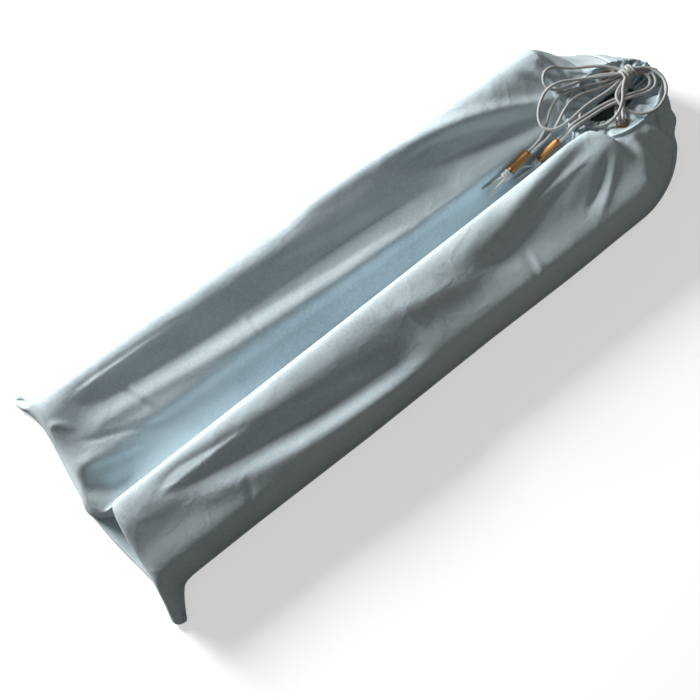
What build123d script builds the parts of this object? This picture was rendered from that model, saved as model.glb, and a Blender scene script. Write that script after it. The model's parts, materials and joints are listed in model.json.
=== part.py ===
from build123d import *
import math
import os

# Rack: a folded plastic profile, with a low ledge in front and a high shelf behind
rack_length = 476
rack_width = 68
rack_height = 36
rack_wall = 3
ledge_height = 10
ledge_width = 24
shelf_width = 14
front_lean = 1.5

# Pusher: a bar that lies on the ledge, on a pin at its end
pusher_length = 448
pusher_width = 18
pusher_height = 9.7
pusher_inset = 4
pin_radius = 2.2
pin_clearance = 0.15
pin_from_end = 12

# How the four racks lie: two nested stacks, a little closer together at the mouth
racks_to_mouth = 45
near_stack_back = -22
far_stack_front = 26
near_yaw = 1.2
far_yaw = -1.6
rest_gap = 0.3

# Cloth of the bag
cloth = 1.2
top_slack = 1.3
side_slack = 5.5
valley_height = 31
seam_height = 4
sewn_end_length = 43.8
seam_curve = 20
ear_margin = 26
sag_places = ((0.15, 1.5), (0.4, 0.5), (0.68, 2.0), (0.87, 0.5))
floor_trim = 0.5
full_length_margin = 14
valley_setback = 34
setback_reach = 4

# Mouth: the hem is drawn up to an oval that faces upward
mouth_x = 259
mouth_y = -1
mouth_half_length = 43
mouth_half_width = 31
mouth_top = 50
hem_width = 20
hem_drop = 7
hem_thickness = 7
end_bulge = 17
mouth_turn = 55

# Drawcords, their eyelets and the brass tubes on their tails
cord_diameter = 2.6
cord_gap = 0.15
eyelet_play = 0.9
eyelet_wall = 0.5
eyelet_flange = 1.3
eyelet_angle_a = 72
eyelet_angle_b = -104
eyelet_stand = 3.8
strand_clearance = 0.25
twist_a = -60
twist_b = 0
lane_a = 0.28
lane_b = 0.7
tube_wall = 0.45
tube_clearance = 0.12
tube_length = 22
tube_travel = 6
stopper_length = 8
stopper_cover = 1
tube_top_a = (178, 8, 43)
tube_foot_a = (156, 5.5, 41.5)
tube_top_b = (203, 0.5, 45)
tube_foot_b = (182.6, 0, 37)
knot_centre = (281, 9, 52.2)
knot_size = (17, 14, 11)

# Routes of the loops of the bow, from the knot and back to it
loop_routes = {
    "loop_a1": [
        (279, 14, 53.4), (273, 24, 53.6), (263, 33, 53.2), (252.5, 40, 52.8), (243.5, 47, 54.4),
        (235.5, 53, 57.8), (226, 51, 59.2), (221, 42.8, 56.2), (226, 34.4, 54), (236, 31.2, 53), (246, 29, 52.5),
        (257, 25.5, 52.6), (267, 19.8, 53), (275, 13.4, 52.8),
    ],
    "loop_a2": [
        (275, 8.4, 52.2), (266, 6.6, 52.8), (256, 6.6, 52.4), (245, 8, 52.2), (234, 8, 52.4),
        (222, 6.2, 52.9), (211, 6.2, 52), (202, 9.5, 50.6), (198, 17.5, 50.4), (201.5, 26.5, 51.2),
        (209, 33.5, 53.8), (219, 38.5, 57.8), (231, 37.5, 58.2), (243, 31, 56.4), (256, 23, 55.6),
        (267, 15.5, 55.6), (275.5, 10.8, 55.2),
    ],
    "loop_b1": [
        (287, 8, 54), (294, 4.4, 54.4), (299, -3.6, 54), (300, -13.6, 53.2), (295.5, -23, 52.6),
        (287, -29, 52.6), (277, -31.5, 52.6), (267.5, -28.5, 52.6), (261, -21, 52.3), (258, -12, 52.5),
        (259, -3, 53.3), (265, 2.5, 53.4), (275, 5.4, 52.6),
    ],
    "loop_b2": [
        (276, 5.8, 55.6), (268, 0, 56.6), (262, -8, 56.6), (254, -14, 55), (244, -16, 51), (234.5, -13, 48.6),
        (227.6, -6.5, 48.3), (226.3, 2, 48.7), (231.5, 8.2, 48.3), (241, 9.8, 47.5), (251, 8.8, 47.2), (259, 8, 47.4),
        (267, 7, 47.9),
        (275, 6.9, 49.4),
    ],
}

# Routes of the two tails of each cord, from the knot down to the straight run through the tube
tail_routes = {
    "tail_a1": [
        (275, 12.3, 49.8), (264.5, 15.1, 49.7), (254, 20.2, 50), (243.5, 25, 51), (233.5, 28, 52.1),
        (223.5, 28.5, 52), (214.5, 25.5, 50.8), (206.5, 19.6, 48.9), (198, 13, 46),
    ],
    "tail_a2": [
        (275, 9.7, 48.9), (261, 12.2, 48.9), (249, 17, 49.3), (238.5, 20.2, 50.6), (228.5, 19.4, 51.8),
        (218.5, 15.4, 50.8), (208.5, 10.9, 47.4), (198, 8, 44.2),
    ],
    "tail_b1": [
        (286, 8, 50.6), (291, 6, 51), (295.4, 1.2, 51.2), (297, -5.6, 51.2), (293.4, -13, 50.8), (285, -15, 50.3),
        (274, -10.4, 50), (262, -5.6, 50), (250, -2.8, 50.6), (238, -2, 51.4), (226.5, -1.6, 52.8),
        (217, -1, 53.4),
    ],
    "tail_b2": [
        (284, 5.5, 50.6), (289, 3.6, 51), (292.3, -0.8, 51), (292.3, -6.2, 51), (288.9, -10.5, 50.6),
        (283.5, -11.4, 50.3), (274, -7.4, 50), (262.5, -2.6, 50), (250.5, 0.2, 50.6), (238.5, 1, 51.4), (226.5, 1.4, 52.8),
        (217, 1.9, 53.4),
    ],
}

# Tips of the tails past their stopper knots
tip_routes = {
    "tail_a1": [(139.5, 7.8, 38), (130, 9.8, 36.8)],
    "tail_a2": [(139.5, 2.8, 36.8), (130, 2.4, 34.4)],
    "tail_b1": [(166, -0.4, 32.8), (157, 0.4, 32.4)],
    "tail_b2": [(168, 5.8, 35.2), (164.9, 10, 39)],
}

# Where each drawcord leaves its eyelet for the bow knot, one strand after the other
lead_routes = {
    "a": ([(274.2, 18, 50.3), (280.5, 15.2, 50)], [(274.8, 15.6, 50.4), (278.4, 13.6, 50.2)]),
    "b": ([(258, -13, 48), (267, -5.6, 47), (276, 2.4, 48)],
          [(252, -11, 47.4), (262, -2, 46.6), (272, 3.9, 47.2), (277.5, 5, 47.8)]),
}

# Worked out from the sizes above
rack_base = cloth + rest_gap
rack_pitch = ledge_height + pusher_height + rest_gap
skirt_angle = math.asin((rack_wall + rest_gap) / rack_pitch)
skirt_lean = rack_height * math.tan(skirt_angle)
shelf_back = rack_width - skirt_lean
shelf_front = shelf_back - shelf_width
low_top = rack_base + rack_pitch + ledge_height + pusher_height
high_top = rack_base + rack_pitch + rack_height
rack_right = mouth_x - racks_to_mouth
rack_left = rack_right - rack_length
near_stack_front = near_stack_back - rack_width
ear_half_width = far_stack_front + rack_width + ear_margin
seam_end = rack_left - sewn_end_length
cord_radius = cord_diameter / 2
eyelet_hole = cord_diameter + eyelet_play
eyelet_spread = cord_radius + strand_clearance
stopper_radius = cord_diameter + stopper_cover
strand_offset = cord_radius + cord_gap / 2
tube_bore = cord_diameter + cord_gap / 2 + tube_clearance
tube_radius = tube_bore + tube_wall


def save(name, solids):
    """Write one node as one STEP file."""
    shape = solids[0] if len(solids) == 1 else Compound(children=list(solids))
    shape.label = name
    export_step(shape, f"parts/{name}.step")


# Racks and pushers

def mitre(before, point, after, amount):
    """A corner of a path, moved to the right of it by amount."""
    first = (point - before).normalized()
    second = (after - point).normalized()
    normal = Vector(first.Y + second.Y, -first.X - second.X).normalized()
    return point + normal * (amount / normal.dot(Vector(first.Y, -first.X)))


def rack_profile():
    """Section of a rack across its length: front at 0, back at rack_width."""
    path = [
        Vector(0, 0),
        Vector(front_lean, ledge_height),
        Vector(ledge_width, ledge_height),
        Vector(shelf_front, rack_height),
        Vector(shelf_back, rack_height),
        Vector(rack_width, 0),
    ]
    start = path[0] * 2 - path[1]
    finish = path[-1] * 2 - path[-2]
    ends = [start] + path + [finish]
    inner = [mitre(ends[i - 1], ends[i], ends[i + 1], rack_wall) for i in range(1, 7)]
    skin = make_face(Polyline(*path, *reversed(inner), close=True))
    below = Pos(rack_width / 2, -rack_wall) * Rectangle(2 * rack_width, 2 * rack_wall)
    return skin - below


def stack_place(front, yaw, level):
    """Where a rack's left front foot stands, and how it is turned."""
    return Pos(rack_left, front, rack_base + level * rack_pitch) * Rot(0, 0, yaw)


def rack_parts(place):
    """One rack, its pusher and the pin that the pusher swings on."""
    rack = extrude(Plane.YZ * rack_profile(), rack_length)
    pusher_y = pusher_inset + pusher_width / 2
    pin_x = rack_length - pin_from_end
    pin_bottom = ledge_height - rack_wall
    bore = Pos(pin_x, pusher_y, rack_height / 2) * Cylinder(pin_radius + pin_clearance, rack_height)
    bar = Box(pusher_length, pusher_width, pusher_height)
    bar = fillet(bar.edges().filter_by(Axis.X), 2)
    bar_x = rack_length - pusher_length / 2 - 2
    bar = Pos(bar_x, pusher_y, ledge_height + pusher_height / 2) * bar
    pin_height = rack_wall + pusher_height
    pin = Pos(pin_x, pusher_y, pin_bottom + pin_height / 2) * Cylinder(pin_radius, pin_height)
    return place * (rack - bore), place * (bar - bore), place * pin


# Outline of the cloth, from the near floor edge over both stacks to the far one

def stack_front(front, yaw, x):
    return front + math.tan(math.radians(yaw)) * (x - rack_left)


def over_the_racks(x, sag=0.0):
    """Points of the cloth's outer face across the bag at x."""
    near = stack_front(near_stack_front, near_yaw, x)
    far = stack_front(far_stack_front, far_yaw, x)
    near_back = near + rack_width
    far_back = far + rack_width
    half_gap = (far - near_back) / 2
    top = high_top + cloth + top_slack
    low = low_top + cloth
    slope = (low_top + high_top) / 2 + cloth
    valley = valley_height - sag
    side = side_slack + sag / 2
    return [
        (near - side + 4, 0),
        (near - side, 9),
        (near - side, low_top - 12),
        (near + 1, low + 1.4),
        (near + rack_width * 0.37, slope + 1.6),
        (near + shelf_front, top),
        (near + shelf_back + 0.5, top - 0.3),
        (near_back, high_top - 7),
        (near_back + half_gap * 0.36, valley + 6),
        (near_back + half_gap, valley),
        (far - half_gap * 0.4, valley + 3.5),
        (far + 0.5, low + 0.6),
        (far + rack_width * 0.35, slope),
        (far + shelf_front, top),
        (far + shelf_back + 0.5, top - 0.3),
        (far_back + 1.5, high_top - 8),
        (far_back + side, low_top - 12),
        (far_back + side, 9),
        (far_back + side - 4, 0),
    ]


def across(x, sag=0.0):
    """A station across the bag at x: over the racks, then back along the floor."""
    over = [Vector(x, y, z) for y, z in over_the_racks(x, sag)]
    over[0].Z = over[-1].Z = -floor_trim
    return over + floor_row(over, -floor_trim)


def floor_row(over, height):
    """Three points back along the floor."""
    row = [over[-1] + (over[0] - over[-1]) * share for share in (0.25, 0.5, 0.75)]
    return [Vector(point.X, point.Y, height) for point in row]


def seam_station(x, half_width, half_thickness):
    """The flat, sewn end of the bag."""
    last = len(over_the_racks(0)) - 1
    over = []
    for i in range(last + 1):
        rise = half_thickness if 0 < i < last else 0
        over.append(Vector(x, half_width * (2 * i / last - 1), seam_height + rise))
    return over + floor_row(over, seam_height - half_thickness)


def mouth_station(grow, height):
    """The sewn line round the mouth, in step with the points of the other stations."""
    last = len(over_the_racks(0)) - 1
    angles = [-mouth_turn - (360 - 2 * mouth_turn) * i / last for i in range(last + 1)]
    angles += [mouth_turn / 2, 0, -mouth_turn / 2]
    row = []
    for angle in angles:
        x = mouth_x + (mouth_half_length + grow) * math.cos(math.radians(angle))
        y = mouth_y + (mouth_half_width + grow) * math.sin(math.radians(angle))
        row.append(Vector(x, y, height))
    return row


def neck_path(start, finish, share):
    """A point along the cloth from the racks' end to the mouth, bulging where it is low."""
    low = max(0.0, min(1.0, 1 - start.Z / (mouth_top * 0.7)))
    elbow_x = finish.X + end_bulge * low - (1 - low) * 0.35 * (finish.X - start.X)
    elbow_y = start.Y + (finish.Y - start.Y) * (0.45 - 0.25 * low)
    elbow_z = start.Z + (finish.Z - start.Z) * 0.5 * (1 - low)
    elbow = Vector(elbow_x, elbow_y, elbow_z)
    return start * (1 - share) ** 2 + elbow * (2 * share * (1 - share)) + finish * share ** 2


def neck_station(share):
    """The cloth part of the way from the racks' end to the mouth."""
    finish = mouth_station(cloth + rest_gap / 2, mouth_top - 0.6)
    start = across(rack_right + full_length_margin)
    middle = (len(over_the_racks(0)) - 1) // 2
    row = []
    for i, point in enumerate(start):
        back = valley_setback * max(0.0, 1 - abs(i - middle) / setback_reach)
        row.append(neck_path(point - Vector(back, 0, 0), finish[i], share))
    return row


def outer_stations():
    """Every station of the cloth's outer face, from the sewn end to the mouth."""
    rows = [
        seam_station(seam_end, ear_half_width, cloth),
        seam_station(seam_end + seam_curve, ear_half_width - 2, cloth),
        across(rack_left - 3.3),
    ]
    for share, sag in sag_places:
        rows.append(across(rack_left + share * rack_length, sag))
    return rows + [neck_station(share) for share in (0, 0.3, 0.55, 0.8, 1)]


def inner_stations(rows):
    """The same stations drawn in by the cloth's thickness."""
    inner = [seam_station(seam_end + seam_curve + 6, ear_half_width - 22, 0.3)]
    for r in range(2, len(rows) - 1):
        row = rows[r]
        moved = []
        for i, point in enumerate(row):
            around = row[(i + 1) % len(row)] - row[i - 1]
            along = rows[r + 1][i] - rows[r - 1][i]
            place = point + around.cross(along).normalized() * cloth
            moved.append(Vector(place.X, place.Y, max(place.Z, cloth)))
        inner.append(moved)
    inner.append(mouth_station(rest_gap / 2, mouth_top - 0.6))
    inner.append(mouth_station(rest_gap / 2, mouth_top + 2))
    return inner


def filled(rows):
    """A solid through the stations."""
    count = len(over_the_racks(0))
    wires = []
    for row in rows:
        over = Spline(*row[:count])
        under = Spline(row[count - 1], *row[count:], row[0])
        wires.append(Wire([over, under]))
    return Solid.make_loft(wires, ruled=True)


def panels():
    """Front and back panel: the shell of the bag, parted at the height of the side seams."""
    outer = outer_stations()
    shell = filled(outer) - filled(inner_stations(outer))
    ear_radius = (ear_half_width ** 2 + seam_curve ** 2) / (2 * seam_curve)
    curve = Pos(seam_end + seam_curve - ear_radius, 0, 0) * Cylinder(ear_radius, 60)
    far = 2 * rack_length
    below_floor = Pos(0, 0, -far / 2) * Box(far, far, far)
    shell = shell - curve - below_floor
    upper = Pos(0, 0, seam_height + far / 2) * Box(far, far, far)
    lower = Pos(0, 0, seam_height - far / 2) * Box(far, far, far)
    return shell & upper, shell & lower


# Mouth casing: the folded hem, with a tunnel for the two drawcords

def oval(share):
    """Outline of the drawn hem: share 0 is the sewn line, share 1 the mouth's edge."""
    length = mouth_half_length - hem_width * share
    width = mouth_half_width - hem_width * share
    return Pos(mouth_x, mouth_y, 0) * Ellipse(length, width)


def hem_height(share, drop):
    return mouth_top - hem_drop * share - drop


def funnel(first, last, drop):
    """The space above the hem, or above a layer of it that lies lower by drop."""
    top = Pos(0, 0, hem_height(first, drop)) * oval(first)
    bottom = Pos(0, 0, hem_height(last, drop)) * oval(last)
    return Solid.make_loft([top.wire(), bottom.wire()], ruled=True)


def hem_layer(first, last, top_drop, bottom_drop):
    """The hem between two ovals and two depths."""
    rim_bottom = hem_height(first, bottom_drop)
    rim = extrude(Pos(0, 0, rim_bottom) * oval(first), bottom_drop - top_drop)
    hole_bottom = hem_height(last, bottom_drop)
    hole = extrude(Pos(0, 0, hole_bottom) * oval(last), bottom_drop - top_drop)
    return funnel(first, last, bottom_drop) + rim - funnel(first, last, top_drop) - hole


def hem_point(angle, share, drop):
    """A point in the hem, at an angle round the mouth."""
    turn = math.radians(angle)
    x = mouth_x + (mouth_half_length - hem_width * share) * math.cos(turn)
    y = mouth_y + (mouth_half_width - hem_width * share) * math.sin(turn)
    return Vector(x, y, hem_height(share, drop))


def eyelet_plane(angle):
    """The hem's upper face at an eyelet: x runs round the mouth, z out of the cloth."""
    origin = hem_point(angle, 0.5, 0)
    round_mouth = hem_point(angle + 1, 0.5, 0) - hem_point(angle - 1, 0.5, 0)
    inward = hem_point(angle, 0.6, 0) - hem_point(angle, 0.4, 0)
    return Plane(origin, x_dir=round_mouth, z_dir=inward.cross(round_mouth) * -1)


def eyelet(angle):
    """A brass eyelet: a barrel through the upper cloth and a flange on it."""
    depth = cloth * 1.15 + 0.1
    barrel = Pos(0, 0, (0.5 - depth) / 2) * Cylinder(eyelet_hole + eyelet_wall, depth + 0.5)
    flange = Pos(0, 0, 0.6) * Cylinder(eyelet_hole + eyelet_wall + eyelet_flange, 0.6)
    hole = Cylinder(eyelet_hole, 20)
    return eyelet_plane(angle) * (barrel + flange - hole)


def casing():
    """The hem with its tunnel and the two eyelet holes in its upper layer."""
    wall = cloth * 1.15
    edge = cloth / hem_width
    hem = hem_layer(0, 1, 0, hem_thickness)
    hem = hem - hem_layer(edge, 1 - edge, wall, hem_thickness - wall)
    for angle in (eyelet_angle_a, eyelet_angle_b):
        bore = Cylinder(eyelet_hole + eyelet_wall + 0.02, 3 * cloth)
        hem = hem - eyelet_plane(angle) * bore
    return hem


# Cords: each is a tube along straight runs joined by arcs

def corner_radii(points):
    """The largest arc that the two runs at each corner allow."""
    radii = []
    for before, point, after in zip(points, points[1:], points[2:]):
        first = point - before
        second = after - point
        turn = math.radians(first.get_angle(second))
        radii.append(0.45 * min(first.length, second.length) / math.tan(turn / 2))
    return radii


def cord(name, points):
    """One cord along its route, with its length and its tightest arc printed."""
    route = [Vector(*point) for point in points]
    radii = corner_radii(route)
    path = FilletPolyline(*route, radius=radii)
    start = Plane(route[0], z_dir=route[1] - route[0])
    tube = sweep(start * Circle(cord_radius), path=path)
    ideal = math.pi * cord_radius ** 2 * path.length
    print(f"{name}: length {path.length:.1f}, arcs from {min(radii):.1f}, "
          f"volume {tube.volume / ideal:.4f} of section times length")
    return tube


def tube_plane(top, foot):
    """The middle of a brass tube: z runs up the cord, x to one side."""
    upward = (Vector(*top) - Vector(*foot)).normalized()
    origin = Vector(*top) - upward * (tube_length / 2)
    return Plane(origin, x_dir=Vector(0, 0, 1).cross(upward), z_dir=upward)


def tail_points(name, top, foot, side):
    """A tail from the knot, straight through tube and stopper, to its tip."""
    plane = tube_plane(top, foot)
    above = tube_length / 2 + tube_travel + 3
    below = -tube_length / 2 - rest_gap - stopper_length - 0.5
    offset = side * strand_offset
    run = [plane.from_local_coords((offset, 0, z)) for z in (above, below)]
    return tail_routes[name] + [tuple(point) for point in run] + tip_routes[name]


def drawcord_points(angle, share, twist, leads):
    """A drawcord from the bow knot, in at its eyelet, round the hem and out again."""
    plane = eyelet_plane(angle)
    depth = -hem_thickness / 2
    first, last = [], []
    for side, row in ((1, first), (-1, last)):
        for turn, z in ((math.radians(twist), eyelet_stand), (0, depth * 0.9)):
            x = side * eyelet_spread * math.cos(turn)
            y = side * eyelet_spread * math.sin(turn)
            row.append(plane.from_local_coords((x, y, z)))
    lane = [hem_point(angle + turn, share, hem_thickness / 2) for turn in range(24, 340, 24)]
    return list(reversed(leads[0])) + first + lane + list(reversed(last)) + list(leads[1])


def brass_tube(top, foot):
    """A thin tube that both strands run through."""
    ring = Cylinder(tube_radius, tube_length) - Cylinder(tube_bore, 2 * tube_length)
    return tube_plane(top, foot) * ring


def stopper_knot(top, foot):
    """The knot under a tube, as a rounded barrel round both strands."""
    barrel = Cylinder(stopper_radius, stopper_length)
    barrel = fillet(barrel.edges().filter_by(GeomType.CIRCLE), stopper_radius * 0.6)
    return tube_plane(top, foot) * Pos(0, 0, -(tube_length + stopper_length) / 2 - rest_gap) * barrel


def bow_knot():
    """The knot of the bow, where all four strands and four loops meet."""
    block = Box(*knot_size)
    return Pos(*knot_centre) * fillet(block.edges(), min(knot_size) * 0.44)


def cord_nodes():
    """Everything on the two drawcords."""
    nodes = {"bow_knot": bow_knot()}
    for name, points in loop_routes.items():
        nodes[name] = cord(name, points)
    cords = (
        ("a", lane_a, eyelet_angle_a, twist_a, tube_top_a, tube_foot_a, 1),
        ("b", lane_b, eyelet_angle_b, twist_b, tube_top_b, tube_foot_b, -1),
    )
    for letter, share, angle, twist, top, foot, first_side in cords:
        for number, side in ((1, first_side), (2, -first_side)):
            name = f"tail_{letter}{number}"
            nodes[name] = cord(name, tail_points(name, top, foot, side))
        nodes[f"cord_tube_{letter}"] = brass_tube(top, foot)
        nodes[f"stopper_knot_{letter}"] = stopper_knot(top, foot)
        name = f"drawcord_{letter}"
        nodes[name] = cord(name, drawcord_points(angle, share, twist, lead_routes[letter]))
    return nodes


if __name__ == "__main__":
    os.makedirs("parts", exist_ok=True)
    front, back = panels()
    nodes = {"front_panel": front, "back_panel": back, "mouth_casing": casing()}
    nodes["eyelet_a"] = eyelet(eyelet_angle_a)
    nodes["eyelet_b"] = eyelet(eyelet_angle_b)
    number = 0
    for front_y, yaw in ((near_stack_front, near_yaw), (far_stack_front, far_yaw)):
        for level in (0, 1):
            number += 1
            rack, pusher, pin = rack_parts(stack_place(front_y, yaw, level))
            nodes[f"rack_{number}"] = rack
            nodes[f"pusher_{number}"] = pusher
            nodes[f"pusher_pin_{number}"] = pin
    nodes.update(cord_nodes())
    for name, shape in nodes.items():
        save(name, list(shape.solids()))
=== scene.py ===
import json
import math
import bmesh
import bpy
import numpy as np
from mathutils import Matrix, Vector


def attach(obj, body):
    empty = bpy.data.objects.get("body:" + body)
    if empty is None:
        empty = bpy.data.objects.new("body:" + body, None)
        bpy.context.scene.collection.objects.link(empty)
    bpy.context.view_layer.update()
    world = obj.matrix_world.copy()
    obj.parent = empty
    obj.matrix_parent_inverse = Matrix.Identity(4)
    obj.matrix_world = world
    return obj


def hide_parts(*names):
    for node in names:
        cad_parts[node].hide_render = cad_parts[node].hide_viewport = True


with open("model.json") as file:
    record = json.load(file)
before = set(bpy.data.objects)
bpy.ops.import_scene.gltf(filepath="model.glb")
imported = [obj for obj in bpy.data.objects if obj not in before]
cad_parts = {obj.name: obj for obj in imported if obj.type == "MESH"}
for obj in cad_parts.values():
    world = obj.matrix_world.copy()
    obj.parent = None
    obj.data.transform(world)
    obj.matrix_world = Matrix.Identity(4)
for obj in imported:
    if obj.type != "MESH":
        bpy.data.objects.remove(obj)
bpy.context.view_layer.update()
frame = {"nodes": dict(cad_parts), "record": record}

# Camera: held almost straight above the bag, a little to the near left, and turned
# so that the bag runs from the lower left to the upper right.
camera_target = Vector((-0.040, -0.028, 0.020))
camera_distance = 0.84
camera_elevation = math.radians(72.7)
camera_azimuth = math.radians(-4.7)
camera_roll = math.radians(-32.5)

camera_data = bpy.data.cameras.new("camera")
camera_data.sensor_width = 36
camera_data.lens = 51.4
camera = bpy.data.objects.new("camera", camera_data)
bpy.context.scene.collection.objects.link(camera)
back = Vector((
    math.sin(camera_azimuth) * math.cos(camera_elevation),
    -math.cos(camera_azimuth) * math.cos(camera_elevation),
    math.sin(camera_elevation),
))
level = Vector((math.cos(camera_azimuth), math.sin(camera_azimuth), 0))
upright = back.cross(level)
sideways = level * math.cos(camera_roll) + upright * math.sin(camera_roll)
turned_up = upright * math.cos(camera_roll) - level * math.sin(camera_roll)
camera.matrix_world = Matrix.Translation(camera_target + back * camera_distance) @ Matrix(
    (sideways, turned_up, back)
).transposed().to_4x4()
bpy.context.scene.camera = camera


# Cords: two braided polyester cords, 2.6 mm thick and limp. Each makes two loops of the bow,
# and its two tails run side by side through a brass tube and end past a stopper knot.
cord_diameter = 0.0026
cord_grey = (0.60, 0.615, 0.60, 1)
cord_shadow_grey = (0.30, 0.315, 0.31, 1)
strand_offset = 0.001375
tube_length = 0.022
tube_travel = 0.006
stopper_length = 0.008
tube_ends = {
    "a": (Vector((0.178, 0.008, 0.043)), Vector((0.156, 0.0055, 0.0415))),
    "b": (Vector((0.203, 0.0005, 0.045)), Vector((0.1826, 0, 0.037))),
}
loop_routes = {
    "loop_a1": [
        (0.279, 0.014, 0.0534), (0.273, 0.024, 0.0536), (0.263, 0.033, 0.0532), (0.2525, 0.04, 0.0528),
        (0.2435, 0.047, 0.0544), (0.2355, 0.053, 0.0578), (0.226, 0.051, 0.0592), (0.221, 0.0428, 0.0562),
        (0.226, 0.0344, 0.054), (0.236, 0.0312, 0.053), (0.246, 0.029, 0.0525), (0.257, 0.0255, 0.0526),
        (0.267, 0.0198, 0.053), (0.275, 0.0134, 0.0528),
    ],
    "loop_a2": [
        (0.275, 0.0084, 0.0522), (0.266, 0.0066, 0.0528), (0.256, 0.0066, 0.0524), (0.245, 0.008, 0.0522),
        (0.234, 0.008, 0.0524), (0.222, 0.0062, 0.0529), (0.211, 0.0062, 0.052), (0.202, 0.0095, 0.0506),
        (0.198, 0.0175, 0.0504), (0.2015, 0.0265, 0.0512), (0.209, 0.0335, 0.0538), (0.219, 0.0385, 0.0578),
        (0.231, 0.0375, 0.0582), (0.243, 0.031, 0.0564), (0.256, 0.023, 0.0556), (0.267, 0.0155, 0.0556),
        (0.2755, 0.0108, 0.0552),
    ],
    "loop_b1": [
        (0.287, 0.008, 0.054), (0.294, 0.0044, 0.0544), (0.299, -0.0036, 0.054), (0.3, -0.0136, 0.0532),
        (0.2955, -0.023, 0.0526), (0.287, -0.029, 0.0526), (0.277, -0.0315, 0.0526), (0.2675, -0.0285, 0.0526),
        (0.261, -0.021, 0.0523), (0.258, -0.012, 0.0525), (0.259, -0.003, 0.0533), (0.265, 0.0025, 0.0534),
        (0.275, 0.0054, 0.0526),
    ],
    "loop_b2": [
        (0.276, 0.0058, 0.0556), (0.268, 0, 0.0566), (0.262, -0.008, 0.0566), (0.254, -0.014, 0.055),
        (0.244, -0.016, 0.051), (0.2345, -0.013, 0.0486), (0.2276, -0.0065, 0.0483), (0.2263, 0.002, 0.0487),
        (0.2315, 0.0082, 0.0483), (0.241, 0.0098, 0.0475), (0.251, 0.0088, 0.0472), (0.259, 0.008, 0.0474),
        (0.267, 0.007, 0.0479), (0.275, 0.0069, 0.0494),
    ],
}
tail_routes = {
    "tail_a1": [
        (0.275, 0.0123, 0.0498), (0.2645, 0.0151, 0.0497), (0.254, 0.0202, 0.05), (0.2435, 0.025, 0.051),
        (0.2335, 0.028, 0.0521), (0.2235, 0.0285, 0.052), (0.2145, 0.0255, 0.0508), (0.2065, 0.0196, 0.0489),
        (0.198, 0.013, 0.046),
    ],
    "tail_a2": [
        (0.275, 0.0097, 0.0489), (0.261, 0.0122, 0.0489), (0.249, 0.017, 0.0493), (0.2385, 0.0202, 0.0506),
        (0.2285, 0.0194, 0.0518), (0.2185, 0.0154, 0.0508), (0.2085, 0.0109, 0.0474), (0.198, 0.008, 0.0442),
    ],
    "tail_b1": [
        (0.286, 0.008, 0.0506), (0.291, 0.006, 0.051), (0.2954, 0.0012, 0.0512), (0.297, -0.0056, 0.0512),
        (0.2934, -0.013, 0.0508), (0.285, -0.015, 0.0503), (0.274, -0.0104, 0.05), (0.262, -0.0056, 0.05),
        (0.25, -0.0028, 0.0506), (0.238, -0.002, 0.0514), (0.2265, -0.0016, 0.0528), (0.217, -0.001, 0.0534),
    ],
    "tail_b2": [
        (0.284, 0.0055, 0.0506), (0.289, 0.0036, 0.051), (0.2923, -0.0008, 0.051), (0.2923, -0.0062, 0.051),
        (0.2889, -0.0105, 0.0506), (0.2835, -0.0114, 0.0503), (0.274, -0.0074, 0.05), (0.2625, -0.0026, 0.05),
        (0.2505, 0.0002, 0.0506), (0.2385, 0.001, 0.0514), (0.2265, 0.0014, 0.0528), (0.217, 0.0019, 0.0534),
    ],
}
tip_routes = {
    "tail_a1": [(0.1395, 0.0078, 0.038), (0.13, 0.0098, 0.0368)],
    "tail_a2": [(0.1395, 0.0028, 0.0368), (0.13, 0.0024, 0.0344)],
    "tail_b1": [(0.166, -0.0004, 0.0328), (0.157, 0.0004, 0.0324)],
    "tail_b2": [(0.168, 0.0058, 0.0352), (0.1649, 0.01, 0.039)],
}


def tube_frame(letter):
    """The middle of a brass tube, its direction up the cord and the direction across it."""
    top, foot = tube_ends[letter]
    upward = (top - foot).normalized()
    across = Vector((0, 0, 1)).cross(upward).normalized()
    return top - upward * tube_length / 2, upward, across


def tail_route(name, side):
    """A tail's route: from the bow, straight through tube and stopper knot, to its tip."""
    middle, upward, across = tube_frame(name[5])
    above = tube_length / 2 + tube_travel + 0.003
    below = -tube_length / 2 - stopper_length - 0.0008
    straight = [middle + across * side * strand_offset + upward * z for z in (above, 0.014, -0.014, below)]
    return tail_routes[name] + [tuple(point) for point in straight] + tip_routes[name]


def smooth_line(name, route, closed=False):
    """The smooth curve that a cord takes along its route, as evenly spread points."""
    curve = bpy.data.curves.new(name, "CURVE")
    curve.dimensions = "3D"
    curve.resolution_u = 24
    spline = curve.splines.new("NURBS")
    spline.points.add(len(route) - 1)
    for control, point in zip(spline.points, route):
        control.co = (*point, 1)
    spline.order_u = 3
    spline.use_endpoint_u = not closed
    spline.use_cyclic_u = closed
    carrier = bpy.data.objects.new(name, curve)
    line = bpy.data.meshes.new_from_object(carrier)
    points = [vertex.co.copy() for vertex in line.vertices]
    bpy.data.objects.remove(carrier)
    bpy.data.meshes.remove(line)
    return points


def spread(points, step):
    """The same line with its points one step apart."""
    places = np.array(points)
    runs = np.linalg.norm(np.diff(places, axis=0), axis=1)
    travelled = np.concatenate(([0], np.cumsum(runs)))
    count = max(8, round(travelled[-1] / step)) + 1
    wanted = np.linspace(0, travelled[-1], count)
    return np.stack([np.interp(wanted, travelled, places[:, axis]) for axis in range(3)], axis=1), wanted


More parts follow.
